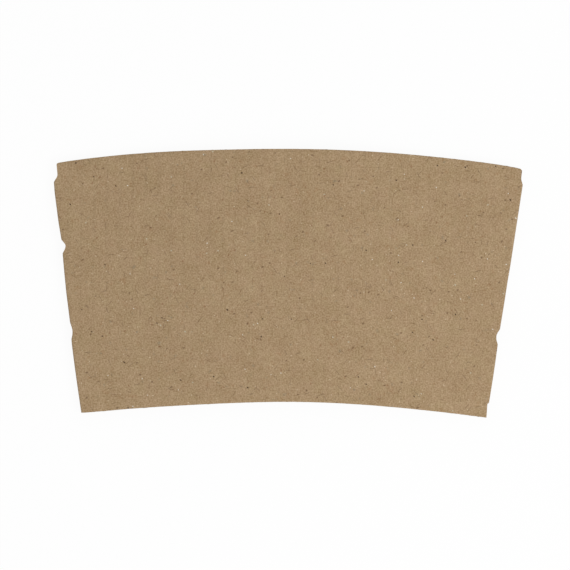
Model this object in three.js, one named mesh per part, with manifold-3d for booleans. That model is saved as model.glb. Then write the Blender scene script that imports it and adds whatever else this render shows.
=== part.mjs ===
// Corrugated coffee cup sleeve, glued into a ring and folded flat, lying on its back.
// X runs across the sleeve, +Y to its wide upper edge and +Z out of its front panel. Sizes in millimetres.
// The blank is single-face board: a smooth liner outside, and a fluted sheet glued to it inside.

import * as THREE from 'three';
import { mergeVertices } from 'three/addons/utils/BufferGeometryUtils.js';
import Module from 'manifold-3d';

const wasm = await Module();
wasm.setup();

// Outline of the flat sleeve. A fold's reach is from the mid-line to the folded edge at mid-height.
const sleeveHeight = 66.7;
const upperEdgeRadius = 435;
const lowerEdgeRadius = 400;
const leftFoldReach = 58.2;
const leftFoldAngle = 7.1;
const rightFoldReach = 58.6;
const rightFoldAngle = 8.2;

// Board
const linerThickness = 0.25;
const mediumThickness = 0.2;
const boardThickness = 1.5;
const flutePitch = 3.387; // E flute, 90 to the foot
const gluedWidth = 0.6; // flat on which a flute is stuck to the liner
const waveSegments = 6;

// Folds
const innerGap = 0.3; // clearance between the flutes that face each other
const crushWidth = 3.2; // strip of board pressed solid beside a fold
const noseLength = 1.3; // how far in from the folded edge its rounding starts
const noseThickness = 0.45; // liner and pressed flutes where they turn round the fold
const noseSegments = 10;
const seatOverlap = 0.3; // board run into the pressed strip, so that the two are one sheet

// Cuts that weaken the fold lines, numbered down each folded edge. A cut leaves the edge standing back
// by its depth for half its flat length each way, and then the edge eases out to the fold again.
const cutSpacing = 22.25;
const cutEase = 2;
const easeSteps = 4;
const leftCuts = [
  { step: 0, depth: 1.3, flat: 6.0 },
  { step: 1, depth: 0.85, flat: 1.6 },
  { step: 2, depth: 0.35, flat: 0.6 },
  { step: 3, depth: 0.2, flat: 4.4 },
];
const rightCuts = [
  { step: 0, depth: 0.7, flat: 4.8 },
  { step: 2, depth: 0.6, flat: 2.4 },
  { step: 3, depth: 0.35, flat: 4.4 },
];
const foldClearance = 0.2; // trimming outline outside an uncut fold

// Glued lap down the back: the left wing lies inside, and the right wing is stuck over it
const lapCentre = 0;
const lapWidth = 14;
const glueSink = 0.05; // flute tops bedded in the glue
const settleLength = 40; // width over which the sheets come down beside the lap
const wingSteps = 5; // facets along the flutes of the wing that comes down

const arcSegments = 16;

// Values that follow from those
const foldedThickness = 2 * boardThickness + innerGap;
const lapLift = boardThickness - glueSink;
const lapLeft = lapCentre - lapWidth / 2;
const lapRight = lapCentre + lapWidth / 2;
const linerFace = boardThickness - linerThickness;
const fluteDepth = linerFace - mediumThickness;
const leftFold = makeFold(-1, leftFoldReach, leftFoldAngle, leftCuts);
const rightFold = makeFold(1, rightFoldReach, rightFoldAngle, rightCuts);
const panelSize = Math.hypot(leftFoldReach + rightFoldReach, sleeveHeight);
const wingSize = Math.hypot(Math.max(lapRight + leftFoldReach, rightFoldReach - lapLeft), sleeveHeight);

// A folded edge, with its directions along the edge (upwards) and out of the sleeve
function makeFold(side, reach, degrees, cuts) {
  const angle = THREE.MathUtils.degToRad(degrees);
  const along = new THREE.Vector2(side * Math.sin(angle), Math.cos(angle));
  const outward = new THREE.Vector2(side * Math.cos(angle), -Math.sin(angle));
  return { side, reach, angle, cuts, along, outward, middle: new THREE.Vector2(side * reach, 0) };
}

// The point of a fold line at a height, moved out of the sleeve by an offset
function foldPoint(fold, y, offset) {
  const x = fold.side * (fold.reach + y * Math.tan(fold.angle) + offset / Math.cos(fold.angle));
  return new THREE.Vector2(x, y);
}

// An extrusion whose faces share their corners, which makes it a closed solid
function extrude(shape, depth) {
  const options = { depth, bevelEnabled: false, curveSegments: arcSegments };
  const geometry = new THREE.ExtrudeGeometry(shape, options);
  geometry.deleteAttribute('normal');
  geometry.deleteAttribute('uv');
  return mergeVertices(geometry, 1e-5);
}

function toSolid(geometry) {
  return new wasm.Manifold(new wasm.Mesh({
    numProp: 3,
    vertProperties: new Float32Array(geometry.attributes.position.array),
    triVerts: new Uint32Array(geometry.index.array),
  }));
}

function toGeometry(solid) {
  const mesh = solid.getMesh();
  const geometry = new THREE.BufferGeometry();
  geometry.setAttribute('position', new THREE.BufferAttribute(new Float32Array(mesh.vertProperties), 3));
  geometry.setIndex(new THREE.BufferAttribute(new Uint32Array(mesh.triVerts), 1));
  return geometry;
}

// An upright solid on a plan outline, from well below the sleeve to well above it
function uprightSolid(outline) {
  const reach = 2 * foldedThickness + lapLift;
  const geometry = extrude(outline, 2 * reach);
  geometry.translate(0, 0, -reach);
  return toSolid(geometry);
}

// Section of the board in X and Z, with its outer face on top. Each flute adds a tunnel between two glue
// lines. The rims have the board on their left, and the faces fill the section.
function boardSection(width) {
  const count = 2 * Math.ceil(width / flutePitch / 2);
  const start = -count * flutePitch / 2;
  const points = [];
  const addPoint = (x, z) => points.push([x, z]) - 1;
  const tops = [addPoint(start, boardThickness)];
  const unders = [addPoint(start, fluteDepth)];
  const rims = [];
  const faces = [];
  for (let k = 0; k < count; k += 1) {
    const glueLine = start + k * flutePitch;
    const tunnel = [];
    for (let j = 0; j <= waveSegments; j += 1) {
      const turn = j / waveSegments;
      const dip = fluteDepth * (1 - Math.cos(2 * Math.PI * turn)) / 2;
      tunnel.push(addPoint(glueLine + gluedWidth / 2 + turn * (flutePitch - gluedWidth), linerFace - dip));
      if (j > 0) {
        unders.push(addPoint(glueLine + turn * flutePitch, fluteDepth - dip));
      }
    }
    tops.push(addPoint(glueLine + flutePitch, boardThickness));
    const under = unders.slice(-waveSegments - 1);
    const [first, last] = [tunnel[0], tunnel.at(-1)];
    const [top, nextTop] = tops.slice(-2);
    faces.push([top, first, last], [top, last, nextTop], [top, under[0], first], [nextTop, last, under.at(-1)]);
    for (let j = 0; j < waveSegments; j += 1) {
      faces.push([tunnel[j], under[j], under[j + 1]], [tunnel[j], under[j + 1], tunnel[j + 1]]);
    }
    rims.push([first, ...tunnel.slice(1).reverse()]);
  }
  rims.push([...unders, ...tops.reverse()]);
  return { points, rims, faces };
}

// A square of board with its flutes along Y, made in steps along them
function makeBoard(size, steps) {
  const { points, rims, faces } = boardSection(size);
  const position = [];
  const index = [];
  for (let step = 0; step <= steps; step += 1) {
    points.forEach(([x, z]) => position.push(x, size * (step / steps - 0.5), z));
  }
  const far = steps * points.length;
  faces.forEach(([a, b, c]) => index.push(a, b, c, far + a, far + c, far + b));
  for (let step = 0; step < steps; step += 1) {
    const near = step * points.length;
    const next = near + points.length;
    rims.forEach((rim) => rim.forEach((a, i) => {
      const b = rim[(i + 1) % rim.length];
      index.push(near + a, next + b, near + b, near + a, next + a, next + b);
    }));
  }
  const geometry = new THREE.BufferGeometry();
  geometry.setAttribute('position', new THREE.Float32BufferAttribute(position, 3));
  geometry.setIndex(index);
  return geometry;
}

// How far a sheet over the lap is lifted at a place across the sleeve
function liftAt(x) {
  const away = Math.max(lapLeft - x, x - lapRight, 0);
  const share = Math.min(away / settleLength, 1);
  return lapLift * (1 + Math.cos(Math.PI * share)) / 2;
}

function settle(geometry) {
  const position = geometry.attributes.position;
  for (let i = 0; i < position.count; i += 1) {
    position.setZ(i, position.getZ(i) + liftAt(position.getX(i)));
  }
}

// The sheet between two upright edges, each given by its points at the bottom and the top
function trimSheet(geometry, leftEdge, rightEdge) {
  const outline = new THREE.Shape([leftEdge[0], rightEdge[0], rightEdge[1], leftEdge[1]]);
  return toSolid(geometry).intersect(uprightSolid(outline));
}

function pressedEdge(fold) {
  const inset = seatOverlap - crushWidth;
  return [foldPoint(fold, -sleeveHeight, inset), foldPoint(fold, sleeveHeight, inset)];
}

function lapEdge(x) {
  return [new THREE.Vector2(x, -sleeveHeight), new THREE.Vector2(x, sleeveHeight)];
}

function makeFront() {
  const geometry = makeBoard(panelSize, 1);
  geometry.translate(0, 0, foldedThickness - boardThickness);
  settle(geometry);
  return trimSheet(geometry, pressedEdge(leftFold), pressedEdge(rightFold));
}

// A wing is folded under, so its flutes lean by twice the fold line's angle
function makeWing(fold, centreX, steps) {
  const geometry = makeBoard(wingSize, steps);
  geometry.rotateY(Math.PI);
  geometry.rotateZ(-2 * fold.side * fold.angle);
  geometry.translate(centreX, 0, boardThickness);
  return geometry;
}

function makeLeftWing() {
  const geometry = makeWing(leftFold, (lapRight - leftFoldReach) / 2, wingSteps);
  settle(geometry);
  return trimSheet(geometry, pressedEdge(leftFold), lapEdge(lapRight));
}

function makeRightWing() {
  const geometry = makeWing(rightFold, (lapLeft + rightFoldReach) / 2, 1);
  return trimSheet(geometry, lapEdge(lapLeft), pressedEdge(rightFold));
}

// The folded edge: the board pressed thin and turned through half a circle, out to x = 0
function noseSection() {
  const middle = foldedThickness / 2;
  const inside = middle - noseThickness;
  const section = new THREE.Shape();
  section.moveTo(-crushWidth, foldedThickness);
  section.lineTo(-noseLength, foldedThickness);
  for (let j = 1; j < noseSegments; j += 1) {
    const turn = Math.PI * j / noseSegments;
    section.lineTo(noseLength * (Math.sin(turn) - 1), middle * (1 + Math.cos(turn)));
  }
  section.lineTo(-noseLength, 0);
  section.lineTo(-crushWidth, 0);
  section.lineTo(-crushWidth, boardThickness);
  for (let j = 0; j <= noseSegments; j += 2) {
    const turn = Math.PI * j / noseSegments;
    const x = (noseLength - noseThickness) * Math.sin(turn) - noseLength;
    section.lineTo(x, middle - inside * Math.cos(turn));
  }
  section.lineTo(-crushWidth, boardThickness + innerGap);
  return section;
}

function makeNose(fold) {
  const depth = 1.5 * sleeveHeight;
  const geometry = extrude(noseSection(), depth);
  geometry.rotateX(Math.PI / 2);
  geometry.translate(0, depth / 2, 0);
  geometry.rotateZ(Math.atan2(fold.outward.y, fold.outward.x));
  geometry.translate(fold.middle.x, fold.middle.y, 0);
  return toSolid(geometry);
}

// Height at which a fold line meets an edge arc
function arcMeetsFold(fold, centreY, radius) {
  const start = new THREE.Vector2(fold.middle.x, fold.middle.y - centreY);
  const middle = start.dot(fold.along);
  const length = Math.sqrt(middle * middle - start.lengthSq() + radius * radius) - middle;
  return fold.middle.y + length * fold.along.y;
}

// How far the edge stands back from the trimming outline at a distance down the fold
function cutDepth(fold, down) {
  let depth = 0;
  for (const cut of fold.cuts) {
    const away = Math.max(Math.abs(down - cut.step * cutSpacing) - cut.flat / 2, 0);
    if (away < cutEase) {
      depth = (cut.depth + foldClearance) * (1 + Math.cos(Math.PI * away / cutEase)) / 2;
    }
  }
  return depth;
}

// Points down a folded edge, close together only where a cut starts and ends
function cutEdge(fold, topY, bottomY) {
  const scale = fold.along.y;
  const length = (topY - bottomY) / scale;
  const stations = new Set([0, length]);
  for (const cut of fold.cuts) {
    for (let j = 0; j <= easeSteps; j += 1) {
      const away = cut.flat / 2 + cutEase * j / easeSteps;
      stations.add(cut.step * cutSpacing - away);
      stations.add(cut.step * cutSpacing + away);
    }
  }
  const inside = [...stations].filter((down) => down >= 0 && down <= length).sort((a, b) => a - b);
  return inside.map((down) => foldPoint(fold, topY - down * scale, foldClearance - cutDepth(fold, down)));
}

function planOutline() {
  const upperCentre = sleeveHeight / 2 - upperEdgeRadius;
  const lowerCentre = -sleeveHeight / 2 - lowerEdgeRadius;
  const edges = [leftFold, rightFold].map((fold) => cutEdge(
    fold,
    arcMeetsFold(fold, upperCentre, upperEdgeRadius),
    arcMeetsFold(fold, lowerCentre, lowerEdgeRadius),
  ));
  const [left, right] = edges;
  const bearing = (point, centreY) => Math.atan2(point.y - centreY, point.x);
  const outline = new THREE.Shape();
  const upperEnds = [bearing(left[0], upperCentre), bearing(right[0], upperCentre)];
  const lowerEnds = [bearing(right.at(-1), lowerCentre), bearing(left.at(-1), lowerCentre)];
  outline.absarc(0, upperCentre, upperEdgeRadius, upperEnds[0], upperEnds[1], true);
  right.slice(1, -1).forEach((point) => outline.lineTo(point.x, point.y));
  outline.absarc(0, lowerCentre, lowerEdgeRadius, lowerEnds[0], lowerEnds[1], false);
  left.slice(1, -1).reverse().forEach((point) => outline.lineTo(point.x, point.y));
  return outline;
}

// The whole sleeve, with the origin under the middle of its outline
function makeSleeve() {
  const sheets = [makeLeftWing(), makeRightWing(), makeNose(leftFold), makeNose(rightFold)];
  const joined = sheets.reduce((whole, sheet) => whole.add(sheet), makeFront());
  const geometry = toGeometry(joined.intersect(uprightSolid(planOutline())));
  geometry.computeBoundingBox();
  const middle = geometry.boundingBox.getCenter(new THREE.Vector3());
  geometry.translate(-middle.x, -middle.y, -geometry.boundingBox.min.z);
  geometry.computeVertexNormals();
  return geometry;
}

const kraft = new THREE.MeshStandardMaterial({ color: 0xa48b6c, roughness: 0.95, metalness: 0 });
const sleeve = new THREE.Mesh(makeSleeve(), kraft);
sleeve.name = 'sleeve';

const part = new THREE.Group();
part.add(sleeve);

export default part;
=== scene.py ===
# %% [markdown]
# # A corrugated coffee cup sleeve, folded flat
# The real sleeve is one blank of single-face board. A smooth kraft liner faces out, and a fluted sheet is
# glued to its inside. A machine folds both ends of the blank behind the front panel and glues them to each
# other in a lap, so the ring ships flat. The solid that this scene starts from holds the sizes. Here the two
# papers are made again as thin sheets, finely enough to show their curves, cut edges and fibres.

import math

import bpy
import numpy as np
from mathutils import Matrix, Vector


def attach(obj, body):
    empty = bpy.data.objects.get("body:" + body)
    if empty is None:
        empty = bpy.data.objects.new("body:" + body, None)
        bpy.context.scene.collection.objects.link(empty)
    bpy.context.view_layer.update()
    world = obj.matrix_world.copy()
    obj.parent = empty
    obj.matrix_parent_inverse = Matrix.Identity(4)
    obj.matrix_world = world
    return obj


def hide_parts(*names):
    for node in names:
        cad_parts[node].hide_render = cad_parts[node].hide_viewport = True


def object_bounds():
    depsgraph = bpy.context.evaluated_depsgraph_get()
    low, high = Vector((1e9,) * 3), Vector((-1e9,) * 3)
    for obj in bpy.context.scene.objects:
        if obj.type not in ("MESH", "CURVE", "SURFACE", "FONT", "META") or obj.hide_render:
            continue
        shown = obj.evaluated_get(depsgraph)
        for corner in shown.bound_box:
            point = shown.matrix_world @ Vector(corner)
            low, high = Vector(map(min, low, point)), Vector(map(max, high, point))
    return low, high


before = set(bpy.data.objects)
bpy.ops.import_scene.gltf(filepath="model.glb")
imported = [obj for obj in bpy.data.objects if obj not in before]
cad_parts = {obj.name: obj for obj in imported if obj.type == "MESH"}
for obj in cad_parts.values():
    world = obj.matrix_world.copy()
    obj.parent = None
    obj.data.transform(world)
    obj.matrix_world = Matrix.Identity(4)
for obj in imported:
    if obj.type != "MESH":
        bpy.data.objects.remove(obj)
solid_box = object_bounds()
print("solid, mm:", [round(1000 * (high - low), 2) for low, high in zip(*solid_box)])

# %% [markdown]
# ## Sizes
# The sheets are worked out in millimetres, with X across the sleeve from its mid-line, Y up from mid-height
# and Z from the table. The sizes are those of the solid, but the cuts and the folded edges follow the real
# outline more closely here. Only when a mesh is made are its points turned into metres and moved on to the
# frame.

# %% Outline, board, folds and lap
MM = 0.001
SLEEVE_HEIGHT = 66.7  # up the mid-line
UPPER_RADIUS = 435.0
LOWER_RADIUS = 400.0
LINER = 0.25  # thickness of the smooth paper
MEDIUM = 0.2  # thickness of the fluted paper
BOARD = 1.5  # thickness over the flutes
FLUTE_PITCH = 3.387  # an E flute has 90 waves to the foot
FLUTE_SHIFT = 0.3  # a glue line lies this far right of the mid-line
INNER_GAP = 0.3  # between the flutes that face each other
NOSE_LENGTH = 1.3  # how far a fold reaches past the flat of its panels
NOSE_THICKNESS = 0.45  # the liner with the medium crushed on to it
CRUSH_WIDTH = 3.2  # the flutes beside a fold are crushed over this width
LAP_HALF = 7.0  # half the width of the lap
GLUE_SINK = 0.05  # the flutes of the lap are bedded this deep
SETTLE_LENGTH = 40.0  # what the lap lifts comes down over this length
FOLDED = 2 * BOARD + INNER_GAP
LAP_LIFT = BOARD - GLUE_SINK
NOSE_ARC = 0.5 * (NOSE_LENGTH + FOLDED / 2)  # a mean radius: arc length for each radian of the fold
FOLD_PATH = math.pi * NOSE_ARC - 2 * NOSE_LENGTH  # paper that the fold takes up


class Arc:
    """An upper or lower edge in plan: a circle with its centre on the mid-line."""

    def __init__(self, middle_y, radius):
        self.centre = np.array([0.0, middle_y - radius])
        self.radius = radius

    def hit(self, base, direction):
        """How far along each straight line from its base the arc is met, above its centre."""
        away = base - self.centre
        along = (away * direction).sum(-1)
        return np.sqrt(along**2 - (away**2).sum(-1) + self.radius**2) - along

    def outside(self, plan):
        """Distance out from the arc."""
        return np.linalg.norm(plan - self.centre, axis=-1) - self.radius


class Fold:
    """A folded edge. Its side is -1 on the left and 1 on the right.

    A cut is how far down it starts and ends, its depths there and the length that it eases out over. A bow is
    a place down the fold and how far the folded edge lies outside a straight line there.
    """

    def __init__(self, side, reach, degrees, corner, droops, cuts, bows):
        lean = math.radians(degrees)
        self.side = side
        self.lean = lean
        self.corner = corner  # radius of the upper corner
        self.droops = droops  # how far the lower and the upper edge draw back at their ends
        self.cuts = cuts
        self.bows = bows
        self.middle = np.array([side * reach, 0.0])
        self.along = np.array([side * math.sin(lean), math.cos(lean)])
        self.outward = np.array([side * math.cos(lean), -math.sin(lean)])
        self.top = self.middle + self.along * UPPER.hit(self.middle, self.along)
        self.length = float(np.linalg.norm(self.top - self.middle) - LOWER.hit(self.middle, self.along))

    def down(self, plan):
        """Distance down the folded edge from its upper corner."""
        return (self.top - plan) @ self.along

    def inside(self, plan):
        """Distance in from the folded edge."""
        return (self.middle - plan) @ self.outward

    def line(self, inset):
        """Where the line at an inset crosses mid-height, and its slope in X for each step in Y."""
        return self.middle[0] - self.side * inset / math.cos(self.lean), self.side * math.tan(self.lean)

    def unfolded(self, plan):
        """Where a point of the wing behind the front lies on the flat blank."""
        return plan + (2 * self.inside(plan) + FOLD_PATH)[..., None] * self.outward

    def folded(self, blank):
        """Where a point of the flat blank lies once its wing is folded behind the front."""
        return blank + (2 * self.inside(blank) + FOLD_PATH)[..., None] * self.outward


UPPER = Arc(SLEEVE_HEIGHT / 2, UPPER_RADIUS)
LOWER = Arc(-SLEEVE_HEIGHT / 2, LOWER_RADIUS)
LEFT = Fold(
    side=-1, reach=58.2, degrees=7.1, corner=0.5, droops=(0.25, 0.26),
    cuts=[
        (-1.0, 3.1, 1.3, 1.23, 2.65),
        (22.05, 22.15, 1.12, 1.05, 2.5),
        (44.35, 44.45, 0.49, 0.49, 3.5),
    ],
    bows=[
        (5, 0), (8, 0.11), (12, 0.04), (15.5, 0), (20, -0.25), (25, -0.13), (28, -0.04), (34, 0.06),
        (42, -0.04), (48, 0.15), (53, 0.09), (57, 0), (66.5, -0.3),
    ])
RIGHT = Fold(
    side=1, reach=58.6, degrees=8.2, corner=0.35, droops=(0.05, 0.42),
    cuts=[
        (-1.0, 2.6, 0.87, 0.74, 2.7),
        (44.7, 45.0, 0.79, 0.75, 2.8),
        (62.9, 67.0, 0.44, 0.03, 1.0),
    ],
    bows=[
        (27, 0), (29, -0.07), (36, -0.08), (42, -0.15), (47.5, -0.1), (51, -0.03), (55, 0), (61, -0.03),
        (66, -0.05),
    ])
print("folded edges, mm:", round(LEFT.length, 2), round(RIGHT.length, 2))

# %% [markdown]
# ## The camera
# The photograph looks straight down on the front panel from far away, so the lens is long. Its frame is
# 150 mm wide at the sleeve, and the sleeve is turned by about half a degree in it.

# %% Camera over the front panel
VIEW_WIDTH = 149.7
CAMERA_HEIGHT = 900.0
CAMERA_ROLL = 0.57
CAMERA_ASIDE = (-0.60, -0.695)  # the middle of the picture, from the middle of the sleeve

camera = bpy.data.objects.new("camera", bpy.data.cameras.new("camera"))
bpy.context.scene.collection.objects.link(camera)
camera.data.sensor_width = 36.0
camera.data.lens = camera.data.sensor_width * (CAMERA_HEIGHT - FOLDED) / VIEW_WIDTH
camera.data.clip_start = 0.01
camera.data.clip_end = 20.0
camera.rotation_euler = (0, 0, math.radians(CAMERA_ROLL))
camera.location = (CAMERA_ASIDE[0] * MM, CAMERA_ASIDE[1] * MM, CAMERA_HEIGHT * MM)
bpy.context.scene.camera = camera
print("lens, mm:", round(camera.data.lens, 1))

# %% [markdown]
# ## Helpers for materials
# Colours are written as sRGB hex values, the way a picture editor shows them, and one function turns them
# into the linear numbers that Blender mixes. Another adds a node with its settings and links in one line.

# %% Colours and nodes
COLOUR_A, COLOUR_B, COLOUR_OUT = 6, 7, 2  # the colour sockets of a Mix node
FROM_MIN, FROM_MAX, TO_MIN, TO_MAX = 1, 2, 3, 4  # the range sockets of a Map Range node


def linear(hex_colour):
    """The linear RGBA of an sRGB hex value."""
    values = [int(hex_colour[i:i + 2], 16) / 255 for i in (1, 3, 5)]
    return (*[v / 12.92 if v <= 0.04045 else ((v + 0.055) / 1.055) ** 2.4 for v in values], 1.0)


def add_node(tree, kind, settings=None, inputs=None):
    """A new node. An input is a value, or the output socket that it is linked to."""
    node = tree.nodes.new(kind)
    for name, value in (settings or {}).items():
        setattr(node, name, value)
    for name, value in (inputs or {}).items():
        if isinstance(value, bpy.types.NodeSocket):
            tree.links.new(value, node.inputs[name])
        else:
            node.inputs[name].default_value = value
    return node


def new_material(name):
    """An empty material and its node tree."""
    material = bpy.data.materials.new(name)
    material.use_nodes = True
    material.node_tree.nodes.clear()
    return material, material.node_tree


print("middle grey, linear:", [round(v, 3) for v in linear("#808080")])

# %% [markdown]
# ## The table and the light
# The photograph has a plain white ground. The floor is white card that camera, gloss and glass rays see as
# nearly all white, and the rest of it is lit, so it keeps the sleeve's soft shadow. One soft lamp hangs about
# half a metre up to the lower right, where the photograph is lightest, and a white world fills in all round.

# %% Floor
FLOOR_GLOW = 0.94  # the share of the floor that is plain white
FLOOR_HALF = 3.0  # metres
FLOOR_DROP = 0.02 * MM  # the floor lies this far under the sleeve, so that the two don't share a plane

white_card, tree = new_material("white_card")
rays = add_node(tree, "ShaderNodeLightPath")
seen = add_node(tree, "ShaderNodeMath", {"operation": "MAXIMUM"},
                {0: rays.outputs["Is Camera Ray"], 1: rays.outputs["Is Glossy Ray"]})
seen = add_node(tree, "ShaderNodeMath", {"operation": "MAXIMUM"},
                {0: seen.outputs[0], 1: rays.outputs["Is Transmission Ray"]})
share = add_node(tree, "ShaderNodeMath", {"operation": "MULTIPLY"}, {0: seen.outputs[0], 1: FLOOR_GLOW})
card = add_node(tree, "ShaderNodeBsdfDiffuse", inputs={"Color": linear("#F6F6F6")})
glow = add_node(tree, "ShaderNodeEmission", inputs={"Color": (1, 1, 1, 1), "Strength": 1.0})
mix = add_node(tree, "ShaderNodeMixShader",
               inputs={0: share.outputs[0], 1: card.outputs[0], 2: glow.outputs[0]})
add_node(tree, "ShaderNodeOutputMaterial", inputs={"Surface": mix.outputs[0]})

floor_mesh = bpy.data.meshes.new("floor")
floor_mesh.from_pydata(
    [(x * FLOOR_HALF, y * FLOOR_HALF, -FLOOR_DROP) for x, y in ((-1, -1), (1, -1), (1, 1), (-1, 1))],
    [], [(0, 1, 2, 3)])
floor_mesh.materials.append(white_card)
floor = bpy.data.objects.new("floor", floor_mesh)
bpy.context.scene.collection.objects.link(floor)
print("floor, m across:", 2 * FLOOR_HALF)

# %% Lamp and world
LAMP_POWER = 1.21  # watts
LAMP_WIDTH = 0.34  # metres
LAMP_PLACE = (0.29, -0.15, 0.46)  # metres
WORLD_STRENGTH = 0.648

lamp = bpy.data.objects.new("soft_lamp", bpy.data.lights.new("soft_lamp", "AREA"))
lamp.data.shape = "DISK"
lamp.data.size = LAMP_WIDTH
lamp.data.energy = LAMP_POWER
lamp.location = LAMP_PLACE
lamp.rotation_euler = lamp.location.to_track_quat("Z", "Y").to_euler()
lamp.visible_camera = False
bpy.context.scene.collection.objects.link(lamp)

world = bpy.data.worlds.new("white_studio")
bpy.context.scene.world = world
world.use_nodes = True
tree = world.node_tree
tree.nodes.clear()
rays = add_node(tree, "ShaderNodeLightPath")
lit = add_node(tree, "ShaderNodeBackground", inputs={"Color": (1, 1, 1, 1), "Strength": WORLD_STRENGTH})
shown = add_node(tree, "ShaderNodeBackground", inputs={"Color": (1, 1, 1, 1), "Strength": 1.0})
mix = add_node(tree, "ShaderNodeMixShader",
               inputs={0: rays.outputs["Is Camera Ray"], 1: lit.outputs[0], 2: shown.outputs[0]})
add_node(tree, "ShaderNodeOutputWorld", inputs={"Surface": mix.outputs[0]})
bpy.context.scene.view_settings.view_transform = "Standard"
print("lamp, m from the sleeve:", round(lamp.location.length, 2))

# %% [markdown]
# ## Kraft paper
# Both papers are recycled kraft: old brown boxes beaten to pulp and rolled out again. That leaves long fibres
# in all directions, some darker and some paler, with specks of bark, print and white office paper among them.
# The finish could be one noise, but the eye reads fibres and specks as paper. So the colour starts from three
# noises, for the grain, the mottling and soft clouds. Faint tints go over them, and then each kind of fibre
# and speck is laid on as a layer of its own. Real fibres are only a few hundredths of a millimetre wide, so
# they are drawn several times wider here, to show at this distance. All of it is placed on the flat blank in
# millimetres and so follows the paper round its folds.

# %% Layers of fibres and specks
# Each row: colour, cell length and width in mm, degrees, share of cells, size in the cell, strength
DARK_FIBRES = [
    ("#6E5840", 3.6, 0.42, 12, 0.016, 0.33, 0.50),
    ("#6A5138", 4.2, 0.38, 49, 0.014, 0.33, 0.50),
    ("#745C43", 3.2, 0.40, 88, 0.016, 0.33, 0.45),
    ("#68523C", 3.9, 0.36, 124, 0.014, 0.33, 0.50),
    ("#72573B", 3.4, 0.42, 161, 0.016, 0.33, 0.50),
]
PALE_FIBRES = [
    ("#C9B08C", 3.8, 0.36, 28, 0.025, 0.33, 0.35),
    ("#CDB796", 3.3, 0.38, 71, 0.022, 0.33, 0.33),
    ("#C6AE8B", 4.1, 0.34, 109, 0.025, 0.33, 0.35),
    ("#CBB28E", 3.5, 0.38, 146, 0.022, 0.33, 0.35),
]
DARK_SPECKS = [
    ("#654C35", 2.2, 1.4, 20, 0.045, 0.19, 0.62),  # brown bark
    ("#7D5233", 2.1, 1.6, 65, 0.03, 0.18, 0.45),  # red bark
    ("#3A281B", 2.9, 2.0, 140, 0.028, 0.115, 0.88),  # dark print
]
WHITE_SPECKS = [("#EDE6D8", 2.3, 2.1, 100, 0.025, 0.085, 0.80)]  # white office paper
SOFT_SPECKS = [
    ("#DCC9AC", 1.7, 1.5, 35, 0.08, 0.11, 0.60),  # pale pulp
    ("#D3D2BC", 3.0, 2.6, 10, 0.02, 0.10, 0.45),  # greenish paper
]
LAYER_SHIFT = (17.0, 29.0)  # moves the cells of each layer away from those of the last
SPOT_CORE = 0.45  # the share of a spot's size that has its full strength


def lay_on(tree, colour, place, rows):
    """Lays one layer for each row over a colour.

    Each layer is a field of random cells, some of which hold a spot.
    """
    for number, (hex_colour, length, width, degrees, cells, size, strength) in enumerate(rows):
        turned = add_node(tree, "ShaderNodeMapping", {"vector_type": "TEXTURE"}, {
            "Vector": place,
            "Location": (LAYER_SHIFT[0] * number + length, LAYER_SHIFT[1] * number + width, 0),
            "Rotation": (0, 0, math.radians(degrees)),
            "Scale": (length, width, 1),
        })
        cell = add_node(tree, "ShaderNodeTexVoronoi", {"voronoi_dimensions": "2D"},
                        {"Vector": turned.outputs[0], "Scale": 1.0})
        chance = add_node(tree, "ShaderNodeSeparateColor", inputs={0: cell.outputs["Color"]})
        chosen = add_node(tree, "ShaderNodeMath", {"operation": "LESS_THAN"},
                          {0: chance.outputs[0], 1: cells})
        spot = add_node(tree, "ShaderNodeMapRange", {"interpolation_type": "SMOOTHSTEP"}, {
            0: cell.outputs["Distance"], FROM_MIN: size, FROM_MAX: size * SPOT_CORE,
            TO_MIN: 0.0, TO_MAX: strength})
        amount = add_node(tree, "ShaderNodeMath", {"operation": "MULTIPLY"},
                          {0: spot.outputs[0], 1: chosen.outputs[0]})
        colour = add_node(tree, "ShaderNodeMix", {"data_type": "RGBA"}, {
            0: amount.outputs[0], COLOUR_A: colour, COLOUR_B: linear(hex_colour)}).outputs[COLOUR_OUT]
    return colour


print("kinds of fibre:", len(DARK_FIBRES + PALE_FIBRES), "and of speck:",
      len(DARK_SPECKS + WHITE_SPECKS + SOFT_SPECKS))

# %% [markdown]
# ### Glue lines, partly painted shade
# Starch glue holds the liner to the top of every flute. The damp paper dries a touch darker and is drawn in
# there, so faint lines run up the sleeve 3.4 mm apart. Their darkening here is partly the glue's own colour
# and partly painted shade, standing in for the shading of the shallow grooves that the lines draw into the
# liner.
# In the photograph they show best towards the upper left and hardly at all along the lower edge, so their
# strength fades over the blank, and it is a little patchy too.

# %% Glue lines and painted shade over a colour
GLUE_WIDTH = 0.75  # from the middle of a line to where it has faded out
GLUE_SHADE = 0.035  # how much darker its middle is, as a share
GLUE_PATCHES = 0.07  # patches to a millimetre
PATCHY = {FROM_MIN: 0.35, FROM_MAX: 0.65, TO_MIN: 0.5, TO_MAX: 1.3}  # from noise to strength
ACROSS = {FROM_MIN: -60.0, FROM_MAX: 60.0, TO_MIN: 1.1, TO_MAX: 0.75}  # from mm across to strength
UPWARD = {FROM_MIN: -33.0, FROM_MAX: 15.0, TO_MIN: 0.1, TO_MAX: 1.1}  # from mm up to strength


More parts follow.
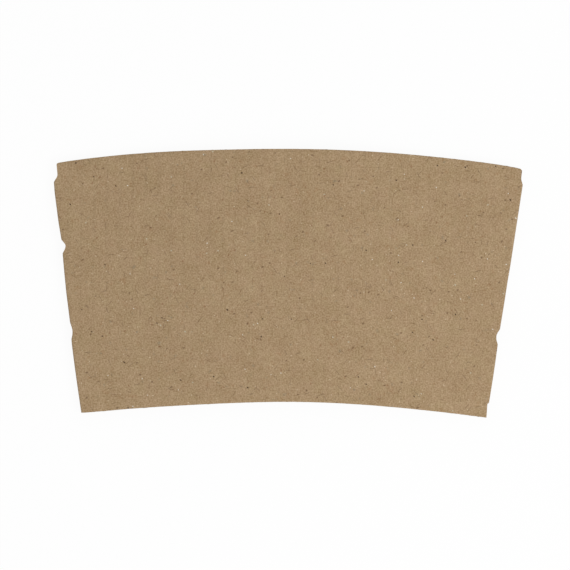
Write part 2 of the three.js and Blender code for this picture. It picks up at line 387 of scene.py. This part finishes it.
def glue_colour_and_painted_shade(tree, colour, blank):
    """Darkens a colour along the tops of the flutes: partly the glue's own colour, partly painted shade."""
    apart = add_node(tree, "ShaderNodeSeparateXYZ", inputs={0: blank})
    shifted = add_node(tree, "ShaderNodeMath", {"operation": "SUBTRACT"},
                       {0: apart.outputs[0], 1: FLUTE_SHIFT})
    away = add_node(tree, "ShaderNodeMath", {"operation": "PINGPONG"},
                    {0: shifted.outputs[0], 1: FLUTE_PITCH / 2})
    line = add_node(tree, "ShaderNodeMapRange", {"interpolation_type": "SMOOTHSTEP"}, {
        0: away.outputs[0], FROM_MIN: GLUE_WIDTH, FROM_MAX: 0.0, TO_MIN: 0.0, TO_MAX: GLUE_SHADE})
    noise = add_node(tree, "ShaderNodeTexNoise",
                     inputs={"Vector": blank, "Scale": GLUE_PATCHES, "Detail": 1.0})
    patchy = add_node(tree, "ShaderNodeMapRange", inputs={0: noise.outputs[0], **PATCHY})
    across = add_node(tree, "ShaderNodeMapRange", inputs={0: apart.outputs[0], **ACROSS})
    upward = add_node(tree, "ShaderNodeMapRange", inputs={0: apart.outputs[1], **UPWARD})
    amount = line.outputs[0]
    for part in (patchy, across, upward):
        amount = add_node(tree, "ShaderNodeMath", {"operation": "MULTIPLY"},
                          {0: amount, 1: part.outputs[0]}).outputs[0]
    # the darkening is partly glue colour and partly painted shade of the grooves along the glue lines
    left = add_node(tree, "ShaderNodeMath", {"operation": "SUBTRACT"}, {0: 1.0, 1: amount})
    return add_node(tree, "ShaderNodeVectorMath", {"operation": "SCALE"},
                    {0: colour, "Scale": left.outputs[0]}).outputs[0]


print("glue lines over the front panel:", int((RIGHT.middle[0] - LEFT.middle[0]) / FLUTE_PITCH))

# %% [markdown]
# ### One paper
# The pressed face of kraft is matt, with a fine tooth that shows only as grain, so the finest noise also
# drives a slight bump. Real fibre grain is finer still, but it wouldn't show at this distance, so the finest
# here is drawn coarser, at two and a half grains to a millimetre.

# %% A function for kraft paper
PAPER_MIDDLE = 0.485  # the even paper, between the dark and the pale colour
GRAINS = [  # how many to a millimetre, their detail and their weight, with the finest first
    (2.5, 2.0, 1.47),
    (0.7, 2.0, 0.36),
    (0.14, 1.0, 0.24),
]
GRAIN_ROUGHNESS = 0.6  # how much the details of a noise weigh
GRAIN_BUMP = 0.35
GRAIN_DEPTH = 0.03  # mm
PAPER_SHINE = 0.2
# Each tint: patches to a millimetre, the noise values where it starts and is full, the noise's channel, how
# it is blended in, its colour and its strength
TINTS = [
    (0.3, 0.4, 0.8, 0, "COLOR", "#AA8270", 0.09),  # a reddish cast
    (0.3, 0.4, 0.8, 1, "COLOR", "#989262", 0.09),  # a greenish cast
    (0.75, 0.60, 0.76, 1, "MIX", "#96683F", 0.22),  # soft reddish bark
    (0.70, 0.66, 0.80, 2, "MIX", "#6F7468", 0.40),  # soft blue print
]
FIBRE_BENDS = 0.45  # a fibre isn't straight: bends to a millimetre
FIBRE_SHIFT = 1.3  # and how far they can move a point, in mm


def kraft_paper(name, dark, pale, contrast, roughness, rows, glued=False):
    """Paper with grain between a dark and a pale colour.

    Glued paper shows the lines of the flutes behind it, as the glue's own colour and painted shade.
    """
    material, tree = new_material(name)
    blank = add_node(tree, "ShaderNodeUVMap", {"uv_map": "blank"}).outputs[0]
    bends = add_node(tree, "ShaderNodeTexNoise",
                     inputs={"Vector": blank, "Scale": FIBRE_BENDS, "Detail": 3.0})
    bent = add_node(tree, "ShaderNodeVectorMath", {"operation": "MULTIPLY_ADD"},
                    {0: bends.outputs["Color"], 1: (FIBRE_SHIFT, FIBRE_SHIFT, 0), 2: blank}).outputs[0]

    shade = PAPER_MIDDLE
    noises = []
    for per_mm, detail, weight in GRAINS:
        noise = add_node(tree, "ShaderNodeTexNoise", {"noise_dimensions": "2D"}, {
            "Vector": blank, "Scale": per_mm, "Detail": detail, "Roughness": GRAIN_ROUGHNESS})
        noises.append(noise.outputs[0])
        off_middle = add_node(tree, "ShaderNodeMath", {"operation": "SUBTRACT"}, {0: noises[-1], 1: 0.5})
        shade = add_node(tree, "ShaderNodeMath", {"operation": "MULTIPLY_ADD"},
                         {0: off_middle.outputs[0], 1: weight * contrast, 2: shade}).outputs[0]
    colour = add_node(tree, "ShaderNodeMix", {"data_type": "RGBA"}, {
        0: shade, COLOUR_A: linear(dark), COLOUR_B: linear(pale)}).outputs[COLOUR_OUT]

    for per_mm, start, full, channel, blend, hex_colour, strength in TINTS:
        noise = add_node(tree, "ShaderNodeTexNoise", inputs={"Vector": blank, "Scale": per_mm, "Detail": 2.0})
        channels = add_node(tree, "ShaderNodeSeparateColor", inputs={0: noise.outputs["Color"]})
        amount = add_node(tree, "ShaderNodeMapRange", inputs={
            0: channels.outputs[channel], FROM_MIN: start, FROM_MAX: full, TO_MIN: 0.0, TO_MAX: strength})
        colour = add_node(tree, "ShaderNodeMix", {"data_type": "RGBA", "blend_type": blend}, {
            0: amount.outputs[0], COLOUR_A: colour, COLOUR_B: linear(hex_colour)}).outputs[COLOUR_OUT]
    # glued paper gets its glue lines, partly glue colour and partly painted shade
    if glued:
        colour = glue_colour_and_painted_shade(tree, colour, blank)
    colour = lay_on(tree, colour, bent, rows)

    bump = add_node(tree, "ShaderNodeBump", inputs={
        "Strength": GRAIN_BUMP, "Distance": GRAIN_DEPTH * MM, "Height": noises[0]})
    surface = add_node(tree, "ShaderNodeBsdfPrincipled", inputs={
        "Base Color": colour, "Roughness": roughness, "Specular IOR Level": PAPER_SHINE,
        "Normal": bump.outputs[0]})
    add_node(tree, "ShaderNodeOutputMaterial", inputs={"Surface": surface.outputs[0]})
    print(f"{name}: {len(tree.nodes)} nodes")
    return material


# %% [markdown]
# ### The two papers
# The liner is pressed smooth on the outside and is a little darker and rougher inside. The medium is made of
# poorer, browner pulp, and steam and the ribbed rolls leave it uneven, so its contrast is the strongest.

# %% Liner, its inside, and the fluting
kraft_liner = kraft_paper(
    "kraft_liner", dark="#8D724E", pale="#C0A686", contrast=1.0, roughness=0.88, glued=True,
    rows=DARK_FIBRES + PALE_FIBRES + DARK_SPECKS + WHITE_SPECKS + SOFT_SPECKS)
kraft_inside = kraft_paper(
    "kraft_liner_inside", dark="#84694B", pale="#B39876", contrast=1.1, roughness=0.92,
    rows=DARK_FIBRES + PALE_FIBRES)
kraft_medium = kraft_paper(
    "kraft_fluting", dark="#786045", pale="#A68D6D", contrast=1.3, roughness=0.92,
    rows=DARK_FIBRES + DARK_SPECKS + WHITE_SPECKS)

# %% [markdown]
# ### The cut edge
# A steel rule punches the blank out. It leaves a raw edge of torn fibre ends, a little paler and rougher than
# the pressed faces. Its fine streaks run along the sheet, because paper is laid down in layers.

# %% Raw edge
EDGE_STREAKS = (2600, 2600, 9000)  # streaks to a metre, along X and Y and through the sheet
EDGE_BUMP = 0.6
EDGE_DEPTH = 0.05  # mm

cut_edge, tree = new_material("raw_kraft_edge")
place = add_node(tree, "ShaderNodeTexCoord").outputs["Object"]
for_edge = add_node(tree, "ShaderNodeMapping", inputs={"Vector": place, "Scale": EDGE_STREAKS})
streaks = add_node(tree, "ShaderNodeTexNoise",
                   inputs={"Vector": for_edge.outputs[0], "Scale": 1.0, "Detail": 3.0})
streaks = add_node(tree, "ShaderNodeMapRange", inputs={0: streaks.outputs[0], FROM_MIN: 0.25, FROM_MAX: 0.75})
colour = add_node(tree, "ShaderNodeMix", {"data_type": "RGBA"}, {
    0: streaks.outputs[0], COLOUR_A: linear("#9C805D"), COLOUR_B: linear("#BDA27D")})
bump = add_node(tree, "ShaderNodeBump", inputs={
    "Strength": EDGE_BUMP, "Distance": EDGE_DEPTH * MM, "Height": streaks.outputs[0]})
surface = add_node(tree, "ShaderNodeBsdfPrincipled", inputs={
    "Base Color": colour.outputs[COLOUR_OUT], "Roughness": 0.95, "Specular IOR Level": 0.15,
    "Normal": bump.outputs[0]})
add_node(tree, "ShaderNodeOutputMaterial", inputs={"Surface": surface.outputs[0]})
print(f"{cut_edge.name}: {len(tree.nodes)} nodes")

# %% [markdown]
# ## Sheets from grids
# Paper is a surface with a thickness, so each sheet starts as a grid of points on one face. Columns run
# across the sleeve and rows from its lower edge to its upper one. Cells can be left out for a cut. The helper
# closes the sheet with a second face and with rims along all its edges, which makes it a solid whose cut
# edges can have a finish of their own.

# %% A closed sheet
FACE, BACK, RIM = 0, 1, 2  # material slots
SHARP_ANGLE = math.radians(50)  # an edge that bends by more than this is shaded as sharp


def sheet_faces(present):
    """Quads of a closed sheet, and their slots. Its face has the first half of the points."""
    columns, rows = present.shape[0] + 1, present.shape[1] + 1
    number = np.arange(columns * rows).reshape(columns, rows)
    corners = [number[:-1, :-1], number[:-1, 1:], number[1:, 1:], number[1:, :-1]]
    front = np.stack([c[present] for c in corners], -1)
    around = np.pad(present, 1)
    neighbours = [around[:-2, 1:-1], around[1:-1, 2:], around[2:, 1:-1], around[1:-1, :-2]]
    rims = []
    for i, neighbour in enumerate(neighbours):
        edge = present & ~neighbour
        start, end = corners[i][edge], corners[(i + 1) % 4][edge]
        rims.append(np.stack([end, start, start + number.size, end + number.size], -1))
    rims = np.concatenate(rims)
    quads = np.concatenate([front, front[:, ::-1] + number.size, rims])
    return quads, np.repeat([FACE, BACK, RIM], [len(front), len(front), len(rims)])


def make_sheets(name, sheets, materials, to_frame):
    """One mesh object from sheets.

    Each sheet is two grids of points in mm, which of their cells are present, and their map on the blank.
    """
    points, quads, slots, on_blank = [], [], [], []
    for face, back, present, blank in sheets:
        sheet_quads, sheet_slots = sheet_faces(present)
        quads.append(sheet_quads + sum(len(p) for p in points))
        slots.append(sheet_slots)
        points.append(np.concatenate([face.reshape(-1, 3), back.reshape(-1, 3)]))
        on_blank.append(np.tile(blank.reshape(-1, 2), (2, 1)))
    used, quads = np.unique(np.concatenate(quads), return_inverse=True)
    quads = quads.reshape(-1, 4)
    mesh = bpy.data.meshes.new(name)
    mesh.from_pydata(((np.concatenate(points)[used] + to_frame) * MM).tolist(), [], quads.tolist())
    mesh.polygons.foreach_set("material_index", np.concatenate(slots).astype(np.int32))
    layer = mesh.uv_layers.new(name="blank")
    layer.uv.foreach_set("vector", np.concatenate(on_blank)[used][quads.ravel()].astype(np.float32).ravel())
    for material in materials:
        mesh.materials.append(material)
    mesh.shade_smooth()
    mesh.set_sharp_from_angle(angle=SHARP_ANGLE)
    piece = bpy.data.objects.new(name, mesh)
    bpy.context.scene.collection.objects.link(piece)
    print(f"{name}: {2 * len(quads)} triangles")
    return piece


# %% [markdown]
# ## How the sheets lie
# The lap holds three layers and the rest of the sleeve two, so the sheets over the lap are lifted and come
# down softly to either side. Folded board is never quite even either: two long, low waves go over it. The
# flutes draw the liner in by a hundredth of a millimetre along each glue line, and the cutting rule presses
# it down along both cut edges.

# %% Lift, unevenness and pressed edges
WASHBOARD = 0.012  # how far a glue line is drawn in
PRESS_DEPTH = 0.3  # how far a cut edge is pressed down
PRESS_REACH = 0.5
LOW_WAVE = 0.05  # height of a wave across and up, in mm
LOW_SPANS = (17, 23)  # mm across and up for each radian of it
LOW_PHASES = (0.6, -0.4)
LONG_WAVE = 0.04  # height of a slanting wave, in mm
LONG_SPANS = (41, 33)  # mm across and up for each radian of it
LONG_PHASE = 1.1


def ease(share):
    """A smooth step from 0 to 1."""
    return 0.5 - 0.5 * np.cos(np.pi * np.clip(share, 0, 1))


def lift(x):
    """How far a sheet over the lap is lifted."""
    return LAP_LIFT * (1 - ease((np.abs(x) - LAP_HALF) / SETTLE_LENGTH))


def drawn_in(across):
    """How far the liner is drawn in between the flutes, by the place across the blank."""
    return WASHBOARD * (0.5 + 0.5 * np.cos(2 * np.pi * (across - FLUTE_SHIFT) / FLUTE_PITCH))


def front_height(plan):
    """Height of the liner's outer face over the front panel."""
    x, y = plan[..., 0], plan[..., 1]
    low_wave = LOW_WAVE * np.sin(x / LOW_SPANS[0] + LOW_PHASES[0]) * np.cos(y / LOW_SPANS[1] + LOW_PHASES[1])
    long_wave = LONG_WAVE * np.sin(x / LONG_SPANS[0] - y / LONG_SPANS[1] + LONG_PHASE)
    sunk = LOW_WAVE + LONG_WAVE  # so that no wave rises past the solid
    pressed = PRESS_DEPTH * (
        np.exp(UPPER.outside(plan) / PRESS_REACH) + np.exp(-LOWER.outside(plan) / PRESS_REACH))
    return FOLDED + lift(x) + low_wave + long_wave - sunk - pressed - drawn_in(x)


print("height over the lap, mm:", round(float(front_height(np.zeros(2))), 2))

# %% [markdown]
# ### The cut edges wander
# The blank isn't cut to perfect arcs. In the photograph the lower edge runs a fifth of a millimetre low left
# of the middle and high right of it. The upper edge dips just left of the middle, and both edges draw back a
# little towards the corners. Under a glass the cut is ragged as well, by a few hundredths of a millimetre.

# %% Ends of a line across the sleeve
DROOP_REACH = 3.2  # both edges draw back over this length beside a fold
EDGE_TRIM = 0.04  # the lower edge stays this far inside that of the solid
# Wander of the lower and upper edge: how far out it goes at its crest, the crest's place in X, its
# wavelength, and the middle and half-width of the stretch that wanders
LOWER_WANDER = (0.22, -28.4, 80.0, -10.0, 50.0)
UPPER_WANDER = (0.17, -46.8, 79.0, -25.0, 35.0)
NOISE_HALF = 2048  # how many noise values lie on either side of place 0


def smooth_noise(places, spacing, seed):
    """Random values from 0 to 1 that change smoothly over a spacing."""
    values = np.random.default_rng(seed).uniform(0, 1, 2 * NOISE_HALF)
    return np.interp(places / spacing, np.arange(-NOISE_HALF, NOISE_HALF), values)


def wander(x, out, crest, wavelength, middle, half_width):
    """How far out an edge lies at a place across the sleeve."""
    return out * np.cos(2 * np.pi * (x - crest) / wavelength) * np.exp(-((x - middle) / half_width) ** 2)


def line_ends(base, direction):
    """How far along each straight line from its base the lower and the upper edge are met."""
    low, high = LOWER.hit(base, direction), UPPER.hit(base, direction)
    low_end, high_end = (base + along[:, None] * direction for along in (low, high))
    low = low - wander(low_end[:, 0], *LOWER_WANDER) + EDGE_TRIM
    high = high + wander(high_end[:, 0], *UPPER_WANDER)
    for fold in (LEFT, RIGHT):
        low = low + fold.droops[0] * np.exp(-fold.inside(low_end) / DROOP_REACH)
        high = high - fold.droops[1] * np.exp(-fold.inside(high_end) / DROOP_REACH)
    return low, high


print("sleeve on its mid-line, mm:",
      [round(float(end[0]), 2) for end in line_ends(np.zeros((1, 2)), np.array([0.0, 1.0]))])

# %% [markdown]
# ## The liner
# The liner is the one sheet that shows. It could be modelled flat and bent with a modifier, but its two folds
# lean towards each other, so it is built as it lies: from the free edge of the right wing, round the right
# fold, over the front panel, round the left fold and along the left wing. Each column is a straight line in
# plan that ends on the two arcs. At a fold the columns turn through half a circle, out to the folded edge.

# %% Columns of the liner
NOSE_TURNS = 22
SQUARENESS = 0.35  # the crease is tight, so the section of a fold is a half ellipse with squared corners
FRONT_STEP = FLUTE_PITCH / 5
WING_STEP = FLUTE_PITCH / 3
CORNER_COLUMNS = np.array([0.07, 0.17, 0.3])  # close columns beside a fold, for the rounded corners


def wing_lines(fold):
    """Lines from the fold to the free edge, as crossing, slope, turn round the fold and side."""
    crossing, slope = fold.line(NOSE_LENGTH)
    free_edge = -fold.side * LAP_HALF
    width = abs(crossing - free_edge)
    shares = np.sort(np.concatenate([np.linspace(0, 1, int(width / WING_STEP) + 1), CORNER_COLUMNS / width]))
    return [(crossing + s * (free_edge - crossing), slope * (1 - s), math.pi, fold.side) for s in shares]


def squared(value):
    """Squares the corners of a curve when both its sine and its cosine go through this."""
    return np.sign(value) * np.abs(value) ** SQUARENESS


def nose_lines(fold):
    """Lines round a fold, from the front to the wing."""
    turns = np.linspace(0, math.pi, NOSE_TURNS + 1)[1:-1]
    return [(*fold.line(NOSE_LENGTH * (1 - squared(math.sin(turn)))), turn, fold.side) for turn in turns]


def front_lines():
    """Lines over the front panel, from the right fold to the left one."""
    right, left = RIGHT.line(NOSE_LENGTH), LEFT.line(NOSE_LENGTH)
    width = right[0] - left[0]
    even = np.linspace(0, 1, int(width / FRONT_STEP) + 1)
    shares = np.sort(np.concatenate([even, CORNER_COLUMNS / width, 1 - CORNER_COLUMNS / width]))
    return [(right[0] + s * (left[0] - right[0]), right[1] + s * (left[1] - right[1]), 0, 0) for s in shares]


right_half = wing_lines(RIGHT)[::-1] + nose_lines(RIGHT)[::-1]
lines = right_half + front_lines() + nose_lines(LEFT) + wing_lines(LEFT)
crossing, slope, turn, side = (np.array(values) for values in zip(*lines))
is_wing = turn == math.pi
print("liner columns:", len(lines))

# %% Rows of the liner, close together beside the cuts and at the ends
ROW_STEP = 1.8
CUT_ROW_STEP = 0.4
CLOSEST_ROWS = 0.45 * CUT_ROW_STEP  # a row that lies closer to the last one is left out
END_ROWS = np.array([0.2, 0.45, 0.8, 1.3])

shares = [np.linspace(0, 1, int(SLEEVE_HEIGHT / ROW_STEP) + 1), END_ROWS / SLEEVE_HEIGHT,
          1 - END_ROWS / SLEEVE_HEIGHT]
for fold in (LEFT, RIGHT):
    for start, end, _, _, easing in fold.cuts:
        down = np.arange(start - easing, end + easing, CUT_ROW_STEP)
        shares.append(1 - down[(down > 0) & (down < fold.length)] / fold.length)
rows = [0.0]
for share in np.sort(np.concatenate(shares)):
    if share - rows[-1] > CLOSEST_ROWS / SLEEVE_HEIGHT:
        rows.append(share)
rows[-1] = 1.0
rows = np.array(rows)
print("liner rows:", len(rows))

# %% [markdown]
# ### Cuts in the folds
# Short cuts through the board weaken each fold line, so that it folds where it should. Where a fold is cut,
# the paper can't pull round, so the folded edge stands back there and a dark slot opens between the front and
# the back. The place and depth of each cut are matched to the photograph.

# %% Cut edges of the liner
CUT_CLEARANCE = 0.2  # a cut eases out to this far outside the folded edge
RAGGED = 0.06  # how far the cut edges of the liner fray
FINE_FRAY, COARSE_FRAY = 1.3, 16  # how many columns a ragged place is wide
LOWER_SEEDS, UPPER_SEEDS = (11, 12), (13, 14)


def stands_back(fold, down):
    """How far a cut folded edge stands back, by the distance down the fold."""
    back = np.zeros_like(down)
    for start, end, upper_depth, lower_depth, easing in fold.cuts:
        away = np.maximum(start - down, down - end)
        depth = np.interp(down, (start, end), (upper_depth, lower_depth)) + CUT_CLEARANCE
        back = np.maximum(back, depth * (1 - ease(away / easing)) - CUT_CLEARANCE)
    return back


def fray(seeds):
    """How far each column of the liner falls short of a clean edge."""
    column = np.arange(len(lines))
    fine, coarse = smooth_noise(column, FINE_FRAY, seeds[0]), smooth_noise(column, COARSE_FRAY, seeds[1])
    return RAGGED * (fine + coarse) / 2


direction = np.stack([slope, np.ones_like(slope)], -1)
direction /= np.linalg.norm(direction, axis=-1, keepdims=True)
base = np.stack([crossing, np.zeros_like(crossing)], -1)
low, high = line_ends(base, direction)
low += fray(LOWER_SEEDS)
high -= fray(UPPER_SEEDS)
for fold in (LEFT, RIGHT):
    inside = fold.inside(base + high[:, None] * direction)
    short = np.clip(1 - (inside - stands_back(fold, np.array(0.0))) / fold.corner, 0, 1)
    high -= fold.corner * (1 - np.sqrt(1 - short**2))
plan = base[:, None] + (low[:, None] + rows * (high - low)[:, None])[..., None] * direction[:, None]
print("liner points:", plan.shape[0] * plan.shape[1])

# %% [markdown]
# ### Round the folds
# The section of a fold goes through half a turn, from the flat front to the flat wing. It stands back where
# the fold is cut and bows out or in by a fraction of a millimetre elsewhere. The liner has to keep its place
# on the blank too, so that grain and fibres aren't stretched: the length of the section up to each column
# says how much paper has been used there.

# %% Points of the liner
SECTION_POINTS = 721
LIP_TURN = math.radians(66)  # how far the paper still reaches round the fold at a cut
SLOT_DEPTH = 0.05  # a shallower cut doesn't open into a slot

fine_turns = np.linspace(0, math.pi, SECTION_POINTS)
section = np.stack([NOSE_LENGTH * squared(np.sin(fine_turns)), FOLDED / 2 * squared(np.cos(fine_turns))])
path = np.concatenate([[0], np.cumsum(np.hypot(*np.diff(section)))])
paper_used = path / path[-1] * math.pi * NOSE_ARC
blank = plan.copy()
thickness = LINER * np.ones(plan.shape[:2])
present = np.ones((len(lines) - 1, len(rows) - 1), bool)
inward = np.zeros((*plan.shape[:2], 3))
inward[..., 2] = -squared(np.cos(turn))[:, None]
height = front_height(plan) * (0.5 + 0.5 * squared(np.cos(turn)))[:, None]
for fold in (LEFT, RIGHT):
    wing = is_wing & (side == fold.side)
    blank[wing] = fold.unfolded(plan[wing])
    height[wing] = drawn_in(blank[wing][..., 0])
    if fold is LEFT:
        height[wing] += lift(plan[wing][..., 0])
    near = (NOSE_LENGTH + CRUSH_WIDTH - fold.inside(plan)) / CRUSH_WIDTH
    thickness += (NOSE_THICKNESS - LINER) * ease(near)

    nose = ~is_wing & (side == fold.side)
    nose_turn = turn[nose][:, None]
    out = NOSE_LENGTH * squared(np.sin(nose_turn))
    blank[nose] += (np.interp(nose_turn, fine_turns, paper_used) - out)[..., None] * fold.outward
    down = fold.down(plan[nose])
    cut_back = stands_back(fold, down)
    bowed = np.interp(down, *zip(*fold.bows)) * out / NOSE_LENGTH
    plan[nose] += (np.minimum(NOSE_LENGTH - cut_back - out, 0) + bowed)[..., None] * fold.outward
    inward[nose, :, :2] = -squared(np.sin(nose_turn))[..., None] * fold.outward
    columns = np.flatnonzero(nose)[:-1]
    cell_turn = (turn[columns] + turn[columns + 1]) / 2
    in_slot = np.abs(cell_turn - math.pi / 2) < math.pi / 2 - LIP_TURN
    is_cut = (cut_back[:-1, :-1] > SLOT_DEPTH) & (cut_back[1:, 1:] > SLOT_DEPTH)
    present[columns] &= ~(in_slot[:, None] & is_cut)
print("cells left out for slots:", int((~present).sum()))

# %% The liner as a sheet
outer = np.concatenate([plan, height[..., None]], -1)
inner = outer + inward * thickness[..., None]
own_middle_x = (outer[..., 0].min() + outer[..., 0].max()) / 2
solid_middle_x = (solid_box[0][0] + solid_box[1][0]) / 2 / MM
to_frame = np.array([solid_middle_x - own_middle_x, solid_box[1][1] / MM - SLEEVE_HEIGHT / 2, 0.0])
print("moved on to the frame by, mm:", to_frame.round(3))

liner = make_sheets(
    "kraft_liner", [(outer, inner, present, blank)], [kraft_liner, kraft_inside, cut_edge], to_frame)

# %% [markdown]
# ## The fluted sheet
# Behind the liner of each panel lies the medium, which hot ribbed rolls have pressed into flutes. It could be
# left out, as the photograph looks at the liner alone. But its waves are what a buyer sees along the upper
# and lower edge, and what makes the sleeve warm to hold. Each column of its grid runs along a flute, and
# twenty columns make one wave. On the wings the flutes lean, because folding turns them over. Near a fold
# they are crushed flat.

# %% Waves of the medium
FLUTE_STEPS = 20
FLUTES_ASIDE = 40  # flutes on either side of the mid-line, before the panel's edges cut them
FLUTE_INSET = 1.8  # the medium ends this far inside a folded edge
CRUSHED = 0.15  # the share of a flute's depth that is left at a fold
FLUTE_DEPTH = BOARD - LINER - MEDIUM
SHORTEST_FLUTE = 0.6
MEDIUM_RECESS = 0.12  # how far the ragged medium falls short of the liner's edge
RECESS_SPACING = 0.5
LOWER_SEED, UPPER_SEED = 21, 22
MEDIUM_ROWS = np.concatenate([[0, 0.006, 0.02, 0.05], np.linspace(0.1, 0.9, 11), [0.95, 0.98, 0.994, 1]])


def normals_of(points):
    """Unit normals of a grid of points, on the side where columns, rows and normal are right-handed."""
    normal = np.cross(np.gradient(points, axis=0), np.gradient(points, axis=1))
    return normal / np.linalg.norm(normal, axis=-1, keepdims=True)


def keep_below(low, high, base, direction, normal, limit):
    """Ends each line where its place along a normal reaches a limit."""
    rise = direction @ normal
    bound = (limit - base @ normal) / rise
    return (np.maximum(low, bound), high) if rise < 0 else (low, np.minimum(high, bound))


def fluted_panel(fold=None):
    """The two faces of the medium behind one panel, the cells that they have and their map on the blank.

    The panel is the wing at a fold, or the front panel where none is given.
    """
    across = FLUTE_SHIFT + FLUTE_PITCH / FLUTE_STEPS * np.arange(
        -FLUTES_ASIDE * FLUTE_STEPS, FLUTES_ASIDE * FLUTE_STEPS)
    base = np.stack([across, 0 * across], -1)
    direction = np.array([0.0, 1.0])
    if fold:
        direction = direction - 2 * (direction @ fold.outward) * fold.outward
        base = fold.folded(base)
    low, high = line_ends(base, direction)
    low += MEDIUM_RECESS * smooth_noise(across, RECESS_SPACING, LOWER_SEED)
    high -= MEDIUM_RECESS * smooth_noise(across, RECESS_SPACING, UPPER_SEED)
    folds = [fold] if fold else [LEFT, RIGHT]
    for near in folds:
        limit = near.middle @ near.outward - FLUTE_INSET
        low, high = keep_below(low, high, base, direction, near.outward, limit)
    if fold:
        low, high = keep_below(low, high, base, direction, np.array([-fold.side, 0.0]), LAP_HALF)
    kept = high - low > SHORTEST_FLUTE
    across, base, low, high = across[kept], base[kept], low[kept], high[kept]
    along = low[:, None] + MEDIUM_ROWS * (high - low)[:, None]
    plan = base[:, None] + along[..., None] * direction

    uncrushed = np.ones(plan.shape[:2])
    for near in folds:
        uncrushed *= CRUSHED + (1 - CRUSHED) * ease((near.inside(plan) - NOSE_LENGTH) / CRUSH_WIDTH)
    wave = 0.5 - 0.5 * np.cos(2 * np.pi * (across - FLUTE_SHIFT) / FLUTE_PITCH)
    under = LINER + MEDIUM / 2 + FLUTE_DEPTH * wave[:, None] * uncrushed
    if fold is None:
        height = front_height(plan) - under
        blank = plan
    else:
        height = under + (lift(plan[..., 0]) if fold is LEFT else 0)
        blank = fold.unfolded(plan)
    middle = np.concatenate([plan, height[..., None]], -1)
    half = normals_of(middle) * MEDIUM / 2
    return middle - half, middle + half, np.ones((len(across) - 1, len(MEDIUM_ROWS) - 1), bool), blank


panels = [fluted_panel(), fluted_panel(LEFT), fluted_panel(RIGHT)]
medium = make_sheets("fluted_medium", panels, [kraft_medium, kraft_medium, cut_edge], to_frame)

# %% [markdown]
# ## Joining the frame
# Both sheets ride on the one body of the part and stand for its solid, which stays for collisions.

# %% Body and the hidden solid
for piece in (liner, medium):
    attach(piece, "root")
    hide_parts("sleeve")
